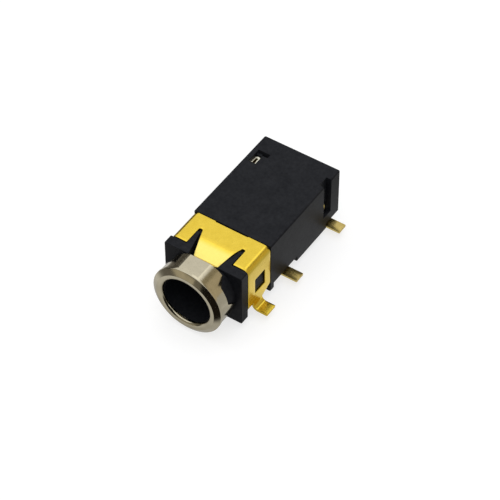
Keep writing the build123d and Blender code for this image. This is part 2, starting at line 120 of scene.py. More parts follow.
# Floor, painted floor shade and cards that only reflections see, room light and lamp

FLOOR_SIZE = 3.0
FLOOR_COLOUR = (0.36, 0.36, 0.36)
FLOOR_LIFT = 0.72           # added for camera, metal and glass, so that the floor is white
# Painted shade on the floor, seen only in reflections: the part's shadow near it and a darker
# floor further off
FLOOR_SHADE_LIFT = 0.02             # the painted floor shade lies this far above the floor, in mm
FLOOR_SHADE_COLOUR = (0.13, 0.12, 0.105)
FLOOR_SHADE_COVER = (               # painted shade: distance from the part in mm, cover on its left and on its right
    (0.0, 0.60, 0.06), (1.2, 0.46, 0.28), (2.6, 0.38, 0.50), (4.5, 0.34, 0.54),
    (6.5, 0.60, 0.55), (9.0, 0.85, 0.55), (14.0, 0.96, 0.55))
FLOOR_SHADE_SIDES = (0.0, 2.0)      # X over which the cover goes from the left's to the right's
SHADOW_BESIDE_RING = 0.50      # painted shadow on the right beside the ring
SHADOW_RING_FADE = (1.5, 4.0)  # Y over which that cover fades
SHADE_COLOUR = (0.015, 0.012, 0.010)
SHADE_RIGHT = (1.2, 3.2)    # X over which the painted shade in front of the mouth comes in
SHADE_FRONT = (-3.9, -1.6)  # Y over which it fades towards the mouth
WHITE = (1.0, 1.0, 1.0)
WORLD_COLOUR = (0.8, 0.8, 0.8)
WORLD_STRENGTH = 0.58
CARD_RADIUS = 0.32
CARD_GAP = 0.005            # each card stands this much inside the one before it
CARD_STEP = 6.0             # degrees between the points of a card
CARDS = (                   # name, azimuths from +X, elevations, colour
    ("horizon_card", (-180, 180), (-1, 18), (0.080, 0.074, 0.064)),
    ("warm_card", (5, 85), (-1, 42.5), (0.56, 0.485, 0.35)),
    ("front_card", (-178, -76), (-1, 41), (0.21, 0.195, 0.165)),
    ("left_card", (-178, -142), (-1, 17), (0.09, 0.083, 0.070)),
    ("pale_card", (-142, -96), (3, 17), (0.56, 0.51, 0.40)),
    ("camera_card", (-83, -20), (-1, 44), (0.010, 0.009, 0.008)),
    ("rail_card", (34, 70), (37, 50), (0.33, 0.285, 0.19)),
)
PANELS = (                  # name, direction from the part, distance, radius, strength
    ("tongue_panel", (-0.382, 0.139, 0.914), 0.29, 0.085, 1.45),
    ("bend_panel", (0.04, 0.545, 0.837), 0.28, 0.055, 1.45),
)
PANEL_CORNERS = 24
KEY_TOWARDS = (-0.10, 0.05, 1.0)
KEY_DISTANCE = 0.25
KEY_SIZE = 0.36
KEY_POWER = 0.52

CENTRE = (CAD_BOX[0] + CAD_BOX[1]) / 2
FLOOR_Z = CAD_BOX[0].z


def add_node(tree, kind, inputs):
    """A new shader node, with each named input linked to a socket or set to a value."""
    node = tree.nodes.new("ShaderNode" + kind)
    for name, value in inputs.items():
        if isinstance(value, bpy.types.NodeSocket):
            tree.links.new(value, node.inputs[name])
        else:
            node.inputs[name].default_value = value
    return node


def math_node(tree, operation, *values):
    """Result of a sum on sockets and plain numbers."""
    node = add_node(tree, "Math", dict(enumerate(values)))
    node.operation = operation
    return node.outputs[0]


def vector_node(tree, operation, *values):
    """A node that works on vectors."""
    node = add_node(tree, "VectorMath", dict(enumerate(values)))
    node.operation = operation
    return node


def axes(tree, vector):
    """The X, Y and Z sockets of a vector."""
    return add_node(tree, "SeparateXYZ", {"Vector": vector}).outputs


def object_place(tree, scale=(1.0, 1.0, 1.0)):
    """The object's own coordinates, in millimetres times a scale."""
    place = add_node(tree, "TexCoord", {}).outputs["Object"]
    millimetres = [value / MM for value in scale]
    return add_node(tree, "Mapping", {"Vector": place, "Scale": millimetres}).outputs["Vector"]


def eased(tree, value, start, end, low, high, ease="SMOOTHSTEP"):
    """A value that goes from low to high as another goes from start to end."""
    span = add_node(tree, "MapRange", {"Value": value, "From Min": start, "From Max": end,
                                       "To Min": low, "To Max": high})
    span.interpolation_type = ease
    return span.outputs["Result"]


def colour_ramp(tree, factor, stops):
    """A colour that runs through stops of (position, colour)."""
    ramp = add_node(tree, "ValToRGB", {"Fac": factor})
    elements = ramp.color_ramp.elements
    while len(elements) < len(stops):
        elements.new(1.0)
    for element, (position, colour) in zip(elements, stops):
        element.position = position
        element.color = (*colour, 1.0)
    return ramp.outputs[0]


def bare_material(name):
    """A material with nothing but its output."""
    material = bpy.data.materials.new(name)
    material.use_nodes = True
    tree = material.node_tree
    tree.nodes.clear()
    return material, tree, tree.nodes.new("ShaderNodeOutputMaterial")


def blended_shaders(tree, kind, sources, output):
    """Send a Mix or Add shader of some sources to the output."""
    blended = add_node(tree, kind, dict(enumerate(sources)))
    tree.links.new(blended.outputs[0], output.inputs["Surface"])


def background_mask(tree):
    """1 for rays that see the plain white background, and 0 for the rest."""
    rays = add_node(tree, "LightPath", {}).outputs
    seen = math_node(tree, "MAXIMUM", rays["Is Camera Ray"], rays["Is Glossy Ray"])
    return math_node(tree, "MAXIMUM", seen, rays["Is Transmission Ray"])


def floor_material():
    """Pale floor that camera, metal and glass see as white, with the part's soft shadow."""
    material, tree, output = bare_material("floor")
    diffuse = add_node(tree, "BsdfDiffuse", {"Color": (*FLOOR_COLOUR, 1.0)})
    lift = math_node(tree, "MULTIPLY", background_mask(tree), FLOOR_LIFT)
    glow = add_node(tree, "Emission", {"Strength": lift})
    blended_shaders(tree, "AddShader", (diffuse.outputs[0], glow.outputs[0]), output)
    return material


def distance_from_part(tree, place):
    """Distance of a place on the painted floor shade from the rectangle that the part covers,
    in mm.
    """
    half = (CAD_BOX[1] - CAD_BOX[0]) / 2 / MM
    steps = (("SUBTRACT", (CENTRE.x / MM, CENTRE.y / MM, FLOOR_Z / MM)), ("ABSOLUTE",),
             ("SUBTRACT", (half.x, half.y, 0.0)), ("MAXIMUM", (0.0, 0.0, 0.0)))
    for operation, *second in steps:
        place = vector_node(tree, operation, place, *second).outputs[0]
    return vector_node(tree, "LENGTH", place).outputs["Value"]


def shade_cover_at(tree, place):
    """How much painted shade a place shows, from its distance and its side of the part: the
    part's painted shadow near it, a darker floor further off.
    """
    x, y, _ = axes(tree, place)
    farthest = FLOOR_SHADE_COVER[-1][0]
    stops = [(far / farthest, (left, right, 0.0)) for far, left, right in FLOOR_SHADE_COVER]
    distance = math_node(tree, "DIVIDE", distance_from_part(tree, place), farthest)
    left, right, _ = axes(tree, colour_ramp(tree, distance, stops))
    beside = eased(tree, y, *SHADOW_RING_FADE, SHADOW_BESIDE_RING, 0.0)
    right = math_node(tree, "MAXIMUM", right, beside)
    right = math_node(tree, "MULTIPLY", right, eased(tree, x, *FLOOR_SHADE_SIDES, 0.0, 1.0))
    left = math_node(tree, "MULTIPLY", left, eased(tree, x, *FLOOR_SHADE_SIDES, 1.0, 0.0))
    return math_node(tree, "ADD", right, left)


def floor_shade_material():
    """Painted shade on the floor, with soft edges: the part's shadow close to it, a darker
    floor further off, and the dark in front of the mouth.
    """
    material, tree, output = bare_material("painted_floor_shade")
    place = object_place(tree)
    x, y, _ = axes(tree, place)
    # painted shade and shadow on the floor, which only reflections see
    shade = math_node(tree, "MULTIPLY", eased(tree, x, *SHADE_RIGHT, 0.0, 1.0),
                      eased(tree, y, *SHADE_FRONT, 1.0, 0.0))
    cover = math_node(tree, "MAXIMUM", shade_cover_at(tree, place), shade)
    opened = add_node(tree, "BsdfTransparent", {})
    colour = colour_ramp(tree, shade, ((0.0, FLOOR_SHADE_COLOUR), (1.0, SHADE_COLOUR)))
    shade_glow = add_node(tree, "Emission", {"Color": colour})
    blended_shaders(tree, "MixShader", (cover, opened.outputs[0], shade_glow.outputs[0]), output)
    return material


def glowing_material(name, colour, strength=1.0):
    """A plain colour that gives its own light."""
    material, tree, output = bare_material(name)
    glow = add_node(tree, "Emission", {"Color": (*colour, 1.0), "Strength": strength})
    tree.links.new(glow.outputs[0], output.inputs["Surface"])
    return material


def add_stage_mesh(name, vertices, faces, material):
    """A mesh that belongs to the stage and not to the part."""
    mesh = bpy.data.meshes.new(name)
    mesh.from_pydata(vertices, [], faces)
    mesh.materials.append(material)
    stage = bpy.data.objects.new(name, mesh)
    bpy.context.scene.collection.objects.link(stage)
    return stage


def only_in_reflections(card):
    """Hide a stage mesh from the camera, and keep its light and shadow off the rest."""
    card.visible_camera = False
    card.visible_diffuse = False
    card.visible_shadow = False


def make_level(name, half, z, material):
    """A square sheet that lies flat."""
    corners = [(-half, -half, z), (half, -half, z), (half, half, z), (-half, half, z)]
    return add_stage_mesh(name, corners, [(0, 1, 2, 3)], material)


def make_floor():
    """The pale floor, and the painted shade on it that only reflections see."""
    make_level("floor", FLOOR_SIZE / 2, FLOOR_Z, floor_material())
    only_in_reflections(make_level("painted_floor_shade", CARD_RADIUS, FLOOR_Z + FLOOR_SHADE_LIFT * MM,
                                   floor_shade_material()))


def make_card(name, radius, azimuths, elevations, colour):
    """A curved studio card round the part, which only reflections see."""
    low, high = (radius * math.tan(math.radians(angle)) for angle in elevations)
    low = max(low, FLOOR_Z)
    start, end = azimuths
    steps = round((end - start) / CARD_STEP)
    vertices = []
    for i in range(steps + 1):
        angle = math.radians(start + (end - start) * i / steps)
        x, y = radius * math.cos(angle), radius * math.sin(angle)
        vertices += [(x, y, low), (x, y, high)]
    faces = [(2 * i, 2 * i + 2, 2 * i + 3, 2 * i + 1) for i in range(steps)]
    only_in_reflections(add_stage_mesh(name, vertices, faces, glowing_material(name, colour)))


def make_panel(name, towards, distance, radius, strength):
    """A round bright panel that faces the part and that only reflections see."""
    back = Vector(towards).normalized()
    right = back.orthogonal().normalized()
    up = back.cross(right)
    rim = []
    for i in range(PANEL_CORNERS):
        angle = 2 * math.pi * i / PANEL_CORNERS
        rim.append(CENTRE + back * distance
                   + (right * math.cos(angle) + up * math.sin(angle)) * radius)
    only_in_reflections(add_stage_mesh(name, rim, [tuple(range(PANEL_CORNERS))],
                                       glowing_material(name, WHITE, strength)))


def make_world():
    """Even room light, which camera, reflections and glass see as plain white."""
    world = bpy.data.worlds.new("studio")
    bpy.context.scene.world = world
    world.use_nodes = True
    tree = world.node_tree
    tree.nodes.clear()
    room = add_node(tree, "Background", {"Color": (*WORLD_COLOUR, 1.0),
                                         "Strength": WORLD_STRENGTH})
    white = add_node(tree, "Background", {"Color": (*WHITE, 1.0)})
    blended_shaders(tree, "MixShader",
                    (background_mask(tree), room.outputs[0], white.outputs[0]),
                    add_node(tree, "OutputWorld", {}))


def make_key_lamp():
    """A square soft lamp above the part, kept out of its reflections."""
    direction = Vector(KEY_TOWARDS).normalized()
    data = bpy.data.lights.new("key_above", "AREA")
    data.shape = "SQUARE"
    data.size = KEY_SIZE
    data.energy = KEY_POWER
    lamp = bpy.data.objects.new("key_above", data)
    lamp.location = CENTRE + direction * KEY_DISTANCE
    lamp.rotation_mode = "QUATERNION"
    lamp.rotation_quaternion = direction.to_track_quat("Z", "Y")
    lamp.visible_glossy = False
    bpy.context.scene.collection.objects.link(lamp)


def make_stage():
    """Camera, floor, cards, panels, room light and lamp."""
    make_camera()
    make_floor()
    for order, (name, azimuths, elevations, colour) in enumerate(CARDS):
        make_card(name, CARD_RADIUS - order * CARD_GAP, azimuths, elevations, colour)
    for panel in PANELS:
        make_panel(*panel)
    make_world()
    make_key_lamp()
    bpy.context.scene.view_settings.view_transform = "Standard"


# Materials: colours as a dark and a light one, roughness as a low and a high one

PLASTIC_COLOURS = ((0.0068, 0.0075, 0.0097), (0.0187, 0.0197, 0.0230))
PLASTIC_ROUGHNESS = (0.36, 0.50)
PLASTIC_SPECULAR = 0.07
PLASTIC_FLOW = 0.4          # share of the slow change in its shades, and of the clouds
PLASTIC_CLOUDS = 0.6
CLIP_COLOURS = ((0.758, 0.543, 0.057), (0.812, 0.592, 0.071))
CLIP_ROUGHNESS = (0.20, 0.28)
CLIP_GRAIN = (1.0, 0.12, 1.0)      # the rolled grain is drawn out along Y
# Painted highlight: paler gold on the tongue, where it tilts towards the light
TONGUE_HIGHLIGHT_COLOUR = (0.82, 0.655, 0.165)
TONGUE_HIGHLIGHT_LEN = 0.45      # the painted highlight comes in over this length before the root
CONTACT_COLOURS = ((0.50, 0.385, 0.125), (0.60, 0.465, 0.165))
CONTACT_ROUGHNESS = (0.24, 0.36)
CONTACT_GRAIN = (1.0, 1.0, 0.12)
# Bare cut metal with a painted highlight, only on upward-facing edges
BARE_EDGE_HIGHLIGHT_COLOUR = (0.84, 0.82, 0.68)
HIGHLIGHT_EDGE_FACING = (0.5, 0.9)       # Z of the normal over which a face becomes an upper edge, with bare metal and painted highlight
BARE_EDGE_HIGHLIGHT_HEIGHT = (-1.6, -1.2)     # Z above the feet, over which the bare edges with painted highlight come in
NICKEL_COLOURS = ((0.487, 0.443, 0.326), (0.558, 0.507, 0.374))
NICKEL_ROUGHNESS = (0.11, 0.19)
NOISE_SPAN = (0.3, 0.7)     # the noise seldom leaves this range


def principled(name, metallic, roughness):
    """A Principled material; its mean roughness is for tools that don't follow nodes."""
    material = bpy.data.materials.new(name)
    material.use_nodes = True
    shader = material.node_tree.nodes["Principled BSDF"]
    shader.inputs["Metallic"].default_value = metallic
    shader.inputs["Roughness"].default_value = sum(roughness) / 2
    return material, material.node_tree, shader


def noise(tree, place, scale, detail=3.0, rough=0.5):
    """A noise of some features to the millimetre."""
    inputs = {"Vector": place, "Scale": scale, "Detail": detail, "Roughness": rough}
    return add_node(tree, "TexNoise", inputs).outputs["Fac"]


def shade_of(tree, factor, colours):
    """A colour between a dark and a light one, by a noise."""
    return colour_ramp(tree, factor, list(zip(NOISE_SPAN, colours)))


def toned(tree, share, colour, other):
    """A colour that gives way to a plain one by a share."""
    return add_node(tree, "MixRGB", {0: share, 1: colour, 2: (*other, 1.0)}).outputs[0]


def finish_surface(tree, shader, colour, grain, roughness, layers):
    """Link a colour, a roughness by a grain, and bumps, each a height and a depth in mm."""
    tree.links.new(colour, shader.inputs["Base Color"])
    tree.links.new(eased(tree, grain, *NOISE_SPAN, *roughness, "LINEAR"),
                   shader.inputs["Roughness"])
    below = {}
    for height, depth in layers:
        bump = add_node(tree, "Bump", {"Height": height, "Distance": depth * MM, **below})
        below = {"Normal": bump.outputs["Normal"]}
    tree.links.new(below["Normal"], shader.inputs["Normal"])


def plastic_material():
    """Moulded black plastic, cloudy with its filler, with a fine spark-eroded skin."""
    material, tree, shader = principled("black_plastic", 0.0, PLASTIC_ROUGHNESS)
    shader.inputs["Specular IOR Level"].default_value = PLASTIC_SPECULAR
    place = object_place(tree)
    flow = noise(tree, place, scale=0.9, detail=4.0)
    clouds = noise(tree, place, scale=4.5, rough=0.6)
    grain = noise(tree, place, scale=16.0)
    pores = noise(tree, place, scale=55.0, detail=2.0)
    shades = math_node(tree, "ADD", math_node(tree, "MULTIPLY", flow, PLASTIC_FLOW),
                       math_node(tree, "MULTIPLY", clouds, PLASTIC_CLOUDS))
    finish_surface(tree, shader, shade_of(tree, shades, PLASTIC_COLOURS), grain,
                   PLASTIC_ROUGHNESS, [(grain, 0.0022), (pores, 0.0008)])
    return material


def tongue_painted_highlight(tree, place, colour):
    """The clip's gold, with a painted highlight that makes it paler on the tongue between the
    two strips beside it.
    """
    x, y, _ = axes(tree, place)
    before_root = eased(tree, y, ROOT_Y - TONGUE_HIGHLIGHT_LEN, ROOT_Y, 1.0, 0.0)
    on_tongue = eased(tree, math_node(tree, "ABSOLUTE", x), *TONGUE_ONLY_X, 1.0, 0.0)
    share = math_node(tree, "MULTIPLY", before_root, on_tongue)
    return toned(tree, share, colour, TONGUE_HIGHLIGHT_COLOUR)


def bare_edges_and_highlight(tree, place, colour):
    """The contacts' gold, with bare metal and a painted highlight on the upper edges of their
    upright strips.
    """
    normal = add_node(tree, "TexCoord", {}).outputs["Normal"]
    upper = eased(tree, axes(tree, normal)["Z"], *HIGHLIGHT_EDGE_FACING, 0.0, 1.0)
    above_feet = eased(tree, axes(tree, place)["Z"], *BARE_EDGE_HIGHLIGHT_HEIGHT, 0.0, 1.0)
    share = math_node(tree, "MULTIPLY", upper, above_feet)
    return toned(tree, share, colour, BARE_EDGE_HIGHLIGHT_COLOUR)


def gold_material(name, colours, roughness, grain_scale, tone):
    """Gold plated sheet: rolled grain along one way, soft waviness and small stains; tone adds
    a painted highlight in some places.
    """
    material, tree, shader = principled(name, 1.0, roughness)
    place = object_place(tree)
    wave = noise(tree, place, scale=2.2)
    grain = noise(tree, object_place(tree, grain_scale), scale=9.0, detail=4.0, rough=0.6)
    specks = noise(tree, place, scale=24.0, detail=2.0)
    colour = tone(tree, place, shade_of(tree, wave, colours))
    finish_surface(tree, shader, colour, grain, roughness,
                   [(wave, 0.003), (grain, 0.0005), (specks, 0.0002)])
    return material


def nickel_material():
    """Turned and plated ring: fine rings round the axis of the plug, slightly warm."""
    material, tree, shader = principled("warm_nickel", 1.0, NICKEL_ROUGHNESS)
    place = object_place(tree)
    x, y, z = axes(tree, place)
    across = add_node(tree, "CombineXYZ", {"X": x, "Y": z}).outputs[0]
    radius = vector_node(tree, "LENGTH", across).outputs["Value"]
    turned = add_node(tree, "CombineXYZ", {"X": radius, "Y": y}).outputs[0]
    lines = noise(tree, turned, scale=22.0, detail=4.0, rough=0.65)
    cloud = noise(tree, place, scale=1.6)
    specks = noise(tree, place, scale=30.0, detail=2.0)
    finish_surface(tree, shader, shade_of(tree, cloud, NICKEL_COLOURS), lines,
                   NICKEL_ROUGHNESS, [(cloud, 0.002), (lines, 0.0004), (specks, 0.0001)])
    return material


# Sheet metal: drawn flat, given round edges, and folded along a track

SHEET = 0.18
EDGE_ROUND = 0.022          # rounds along the sheet's edges
EDGE_STEPS = 3
CORNER_ROUND = 0.05         # rounds at the corners of its outline
ARC_STEPS = 5
TURN_STEP = math.radians(7.5)
SHARP_ANGLE = math.radians(50)
TOP_STEP = 0.4              # between rows of points, closer where the sheet bends in use
SIDE_STEP = 0.3
LENGTH_STEP = 0.25
BENT_STEP = 0.2

BISECTIONS = 40
NEARLY_FLAT = 1e-3          # corners that turn by less than this angle aren't rounded
NO_ANGLE = 1e-2             # below this sine two edges count as one straight line
LEVEL_EDGE = 1e-9           # an edge that rises less than this crosses no line
NEAR_END = 1e-3             # a crossing this close to an edge's end, as a share, is left out
ON_SEAM = 1e-6
WELD = 1e-4                 # points closer than this are one
PATTERN_TOLERANCE = 1e-6


def unit(angle):
    """Direction of an angle."""
    return Vector((math.cos(angle), math.sin(angle)))


class Track:
    """A line of straight runs and tangent arcs in a plane, walked by its length."""

    def __init__(self, points, radii):
        points = [Vector(point) for point in points]
        self.runs = []          # start length, start point, heading, curvature
        self.length = 0.0
        headings = [math.atan2(b.y - a.y, b.x - a.x) for a, b in zip(points, points[1:])]
        cut_before = 0.0
        for i, heading in enumerate(headings):
            start = points[i] + unit(heading) * cut_before
            turn = cut = 0.0
            if i < len(radii):
                turn = (headings[i + 1] - heading + math.pi) % (2 * math.pi) - math.pi
                cut = radii[i] * math.tan(abs(turn) / 2)
            end = points[i + 1] - unit(heading) * cut
            self.runs.append((self.length, start, heading, 0.0))
            self.length += (end - start).length
            if turn:
                curvature = math.copysign(1 / radii[i], turn)
                self.runs.append((self.length, end, heading, curvature))
                self.length += radii[i] * abs(turn)
            cut_before = cut

    def at(self, length):
        """Point and left normal at a length; the end runs go on past their ends."""
        run = self.runs[0]
        for candidate in self.runs:
            if candidate[0] <= length:
                run = candidate
        start_length, start, heading, curvature = run
        walked = length - start_length
        if curvature == 0.0:
            return start + unit(heading) * walked, unit(heading + math.pi / 2)
        turned = heading + curvature * walked
        centre = start + unit(heading + math.pi / 2) / curvature
        return centre - unit(turned + math.pi / 2) / curvature, unit(turned + math.pi / 2)

    def stations(self):
        """Lengths where a run starts or ends, and even turns along each arc."""
        found = []
        ends = [run[0] for run in self.runs[1:]] + [self.length]
        for (start_length, _, _, curvature), end in zip(self.runs, ends):
            steps = max(1, math.ceil(abs(curvature) * (end - start_length) / TURN_STEP))
            found += [start_length + (end - start_length) * i / steps for i in range(steps)]
        return found + [self.length]

    def length_at(self, axis, value, low, high):
        """Length between low and high at which a coordinate reaches a value."""
        rising = self.at(high)[0][axis] > self.at(low)[0][axis]
        for _ in range(BISECTIONS):
            middle = (low + high) / 2
            if (self.at(middle)[0][axis] < value) == rising:
                low = middle
            else:
                high = middle
        return (low + high) / 2


def rounded(corners):
    """A closed outline from corners (u, v, radius), with arcs at the round ones."""
    points = []
    count = len(corners)
    for i, (u, v, radius) in enumerate(corners):
        here = Vector((u, v))
        back = Vector(corners[i - 1][:2]) - here
        ahead = Vector(corners[(i + 1) % count][:2]) - here
        angle = back.angle(ahead)
        if radius == 0.0 or angle > math.pi - NEARLY_FLAT:
            points.append(here)
            continue
        cut = radius / math.tan(angle / 2)
        centre = here + (back.normalized() + ahead.normalized()).normalized() * (
            radius / math.sin(angle / 2))
        start = here + back.normalized() * cut - centre
        end = here + ahead.normalized() * cut - centre
        sweep = math.atan2(start.x * end.y - start.y * end.x, start.dot(end))
        for step in range(ARC_STEPS + 1):
            points.append(centre + Matrix.Rotation(sweep * step / ARC_STEPS, 2) @ start)
    return points


def pairs(loop):
    """Each item of a closed loop with the one after it."""
    return zip(loop, loop[1:] + loop[:1])


def signed_area(loop):
    """Area inside a loop, negative where it runs clockwise."""
    return sum(a.x * b.y - a.y * b.x for a, b in pairs(loop)) / 2


def cut_at_lines(loop, lines):
    """The loop with more points, where its edges cross lines of constant u or v."""
    points = []
    for a, b in pairs(loop):
        shares = set()
        for axis in (0, 1):
            if abs(b[axis] - a[axis]) > LEVEL_EDGE:
                for line in lines[axis]:
                    share = (line - a[axis]) / (b[axis] - a[axis])
                    if NEAR_END < share < 1 - NEAR_END:
                        shares.add(round(share, 4))
        points.append(a)
        points += [a.lerp(b, share) for share in sorted(shares)]
    return points


def inset(loop, distance, seam):
    """The loop moved inwards by a distance, apart from edges on the line (axis, value)."""
    axis, value = seam
    moved = []
    for i, here in enumerate(loop):
        shifts = []
        for a, b in ((loop[i - 1], here), (here, loop[(i + 1) % len(loop)])):
            heading = (b - a).normalized()
            on_seam = max(abs(a[axis] - value), abs(b[axis] - value)) < ON_SEAM
            shifts.append((Vector((-heading.y, heading.x)), 0.0 if on_seam else distance))
        (n1, d1), (n2, d2) = shifts
        cross = n1.x * n2.y - n1.y * n2.x
        if abs(cross) < NO_ANGLE:
            moved.append(here + n1 * min(d1, d2))
        else:
            shift = Vector((d1 * n2.y - d2 * n1.y, n1.x * d2 - n2.x * d1)) / cross
            moved.append(here + shift)
    return moved


def crossings(point, loops):
    """How many loop edges a ray from the point meets."""
    count = 0
    for loop in loops:
        for a, b in pairs(loop):
            if (a.y > point.y) != (b.y > point.y):
                if point.x < a.x + (point.y - a.y) * (b.x - a.x) / (b.y - a.y):
                    count += 1
    return count


def is_clear(point, loops, room):
    """True where no loop edge passes within a distance of the point."""
    for loop in loops:
        for a, b in pairs(loop):
            edge = b - a
            share = min(1.0, max(0.0, (point - a).dot(edge) / edge.length_squared))
            if (a + edge * share - point).length < room:
                return False
    return True


def link_mesh(name, vertices, faces, material):
    """A smooth closed mesh from points in millimetres, with its faces turned outwards."""
    mesh = bpy.data.meshes.new(name)
    mesh.from_pydata([point * MM for point in vertices], [], faces)
    shape = bmesh.new()
    shape.from_mesh(mesh)
    bmesh.ops.remove_doubles(shape, verts=shape.verts, dist=WELD * MM)
    bmesh.ops.recalc_face_normals(shape, faces=shape.faces)
    shape.to_mesh(mesh)
    shape.free()
    mesh.shade_smooth()
    mesh.set_sharp_from_angle(angle=SHARP_ANGLE)
    mesh.materials.append(material)
    piece = bpy.data.objects.new(name, mesh)
    bpy.context.scene.collection.objects.link(piece)
    normals = piece.modifiers.new("large_faces_lead", "WEIGHTED_NORMAL")
    normals.keep_sharp = True
    return piece


def edge_levels():
    """Inset of the outlines and height off the sheet's middle, round its edge."""
    levels = []
    for step in range(EDGE_STEPS + 1):
        angle = math.pi / 2 * step / EDGE_STEPS
        levels.append((EDGE_ROUND * (1 - math.sin(angle)),
                       SHEET / 2 - EDGE_ROUND * (1 - math.cos(angle))))
    return levels + [(distance, -height) for distance, height in reversed(levels)]


def inner_points(lines, borders):
    """Crossings of the rows of points, where they lie on the sheet and off its edges."""
    points = [Vector((u, v)) for u in lines[0] for v in lines[1]]
    return [point for point in points
            if crossings(point, borders) % 2 and is_clear(point, borders, EDGE_ROUND)]


def sheet_triangles(found, borders):
    """Triangles of a flat pattern that lie on the sheet, each region as a whole."""
    places, edges, triangles, _, edge_sources, _ = found
    walls = {frozenset(edge) for edge, source in zip(edges, edge_sources) if source}
    beside = {}
    for i, triangle in enumerate(triangles):
        for a, b in pairs(triangle):
            beside.setdefault(frozenset((a, b)), []).append(i)

    def area(i):
        a, b, c = (places[corner] for corner in triangles[i])
        return abs((b.x - a.x) * (c.y - a.y) - (b.y - a.y) * (c.x - a.x))

    kept = []
    waiting = set(range(len(triangles)))
    while waiting:
        region = [waiting.pop()]
        reaches_hull = False
        for i in region:
            triangle = triangles[i]
            for a, b in pairs(triangle):
                edge = frozenset((a, b))
                if edge not in walls:
                    reaches_hull |= len(beside[edge]) == 1
                    new = [j for j in beside[edge] if j in waiting]
                    waiting.difference_update(new)
                    region += new
        if reaches_hull:
            continue
        widest = triangles[max(region, key=area)]
        middle = sum((places[corner] for corner in widest), Vector((0.0, 0.0))) / 3
        if crossings(middle, borders) % 2:
            kept += [triangles[i] for i in region]
    return kept


def folded_sheet(name, loops, lines, fold, material, seam):
    """Sheet metal from flat outlines, the first round the sheet and the rest round its holes.

    lines holds the u and the v values at which the sheet has rows of points,
    fold(u, v, h) gives the place of a flat point that lies h off the sheet's middle, and
    seam is the line (axis, value) where the sheet goes on in the next piece.
    """
    outlines = []
    for i, loop in enumerate(loops):
        if (signed_area(loop) > 0) != (i == 0):
            loop = loop[::-1]
        outlines.append(cut_at_lines(loop, lines))
    vertices = []
    faces = []
    rings = []              # first vertex of each outline at each level
    for distance, height in edge_levels():
        starts = []
        for loop in outlines:
            starts.append(len(vertices))
            vertices += [fold(p.x, p.y, height) for p in inset(loop, distance, seam)]
        rings.append(starts)
    for upper, lower in zip(rings, rings[1:]):
        for loop, top, bottom in zip(outlines, upper, lower):
            for i in range(len(loop)):
                j = (i + 1) % len(loop)
                faces.append((top + i, top + j, bottom + j, bottom + i))
    borders = [inset(loop, EDGE_ROUND, seam) for loop in outlines]
    inner = inner_points(lines, borders)
    flat = [point for border in borders for point in border] + inner
    edges = []
    first = 0
    for border in borders:
        edges += [(first + i, first + (i + 1) % len(border)) for i in range(len(border))]
        first += len(border)
    found = delaunay_2d_cdt(flat, edges, [], 0, PATTERN_TOLERANCE)
    triangles = sheet_triangles(found, borders)
    origins = found[3]
    for height, starts in ((SHEET / 2, rings[0]), (-SHEET / 2, rings[-1])):
        numbers = [start + i for start, loop in zip(starts, outlines) for i in range(len(loop))]
        for point in inner:
            numbers.append(len(vertices))
            vertices.append(fold(point.x, point.y, height))
        faces += [[numbers[origins[i][0]] for i in triangle] for triangle in triangles]
    return link_mesh(name, vertices, faces, material)


def spaced(low, high, step):
    """Values from low to high, evenly spaced by about a step."""
    count = max(1, round((high - low) / step))
    return [low + (high - low) * i / count for i in range(count + 1)]


# Clip and tongue: one strip on the real socket, folded as a whole

CLIP = NodeBox("ground_clip")
CLIP_SIDE_X = 2.98
CLIP_BEND_R = 0.45
CLIP_FOOT_BEND_R = 0.32
CLIP_FOOT_FRONT = 0.65      # behind the clip's front edge
CLIP_FOOT_W = 1.00
CLIP_FRONT_LOW = 0.70       # lower ends of the side plate's edges, above the board face
CLIP_REAR_LOW = 0.95
NICK_DEPTH = 0.06           # shallow step in the middle of the clip's rear edge
NICK_HALF = 1.25
WINDOW_FRONT = 0.80         # behind the clip's front edge
WINDOW_LEN = 1.14
WINDOW_HALF_H = 0.65
ROOT_LEAD = 0.85            # root line of the tongue, behind the clip's front edge
ROOT_HALF = 1.33
ROOT_BEND_R = 2.0
TONGUE_ONLY_X = (1.50, 1.70)       # where the tongue's painted highlight fades, from beside the tongue to the strips next to it
SEAM_LEAD = 0.30            # the strip is parted this far behind the root line
SLOT_OUTER = 1.80
SLOT_TIP_W = 0.26
SLOT_LEN = 0.63
SLOT_ROUND = 0.10
TONGUE_TAPER = 0.30         # its half width shrinks by this much per mm of length
TONGUE_SLOPE = 14.5         # degrees down, as far as the knee
TONGUE_KNEE_Y = 0.66
TONGUE_CREST_Y = 0.33
TONGUE_END_Y = 0.15
TONGUE_CREST_Z = 1.67
TONGUE_END_RISE = 0.14
TONGUE_KNEE_R = 0.40
TONGUE_CREST_R = 0.20
TONGUE_END_ROUND = 0.25

BOARD_Z = CLIP.z0
ROOT_Y = CLIP.y0 + ROOT_LEAD
SEAM_Y = ROOT_Y + SEAM_LEAD
SHEET_MID_Z = CLIP.z1 - SHEET / 2


def slot_inner_x(y):
    """Inner edge of the slots behind the tongue's root."""
    slope = (SLOT_OUTER - SLOT_TIP_W - ROOT_HALF) / SLOT_LEN
    return ROOT_HALF + slope * (y - ROOT_Y)


def clip_track():
    """Half of the clip's section, in X and Z, from the middle of its top to the foot's end."""
    x = CLIP_SIDE_X - SHEET / 2
    foot_z = BOARD_Z + SHEET / 2
    return Track([(0, SHEET_MID_Z), (x, SHEET_MID_Z), (x, foot_z), (CLIP.x1, foot_z)],
                 [CLIP_BEND_R - SHEET / 2, CLIP_FOOT_BEND_R + SHEET / 2])


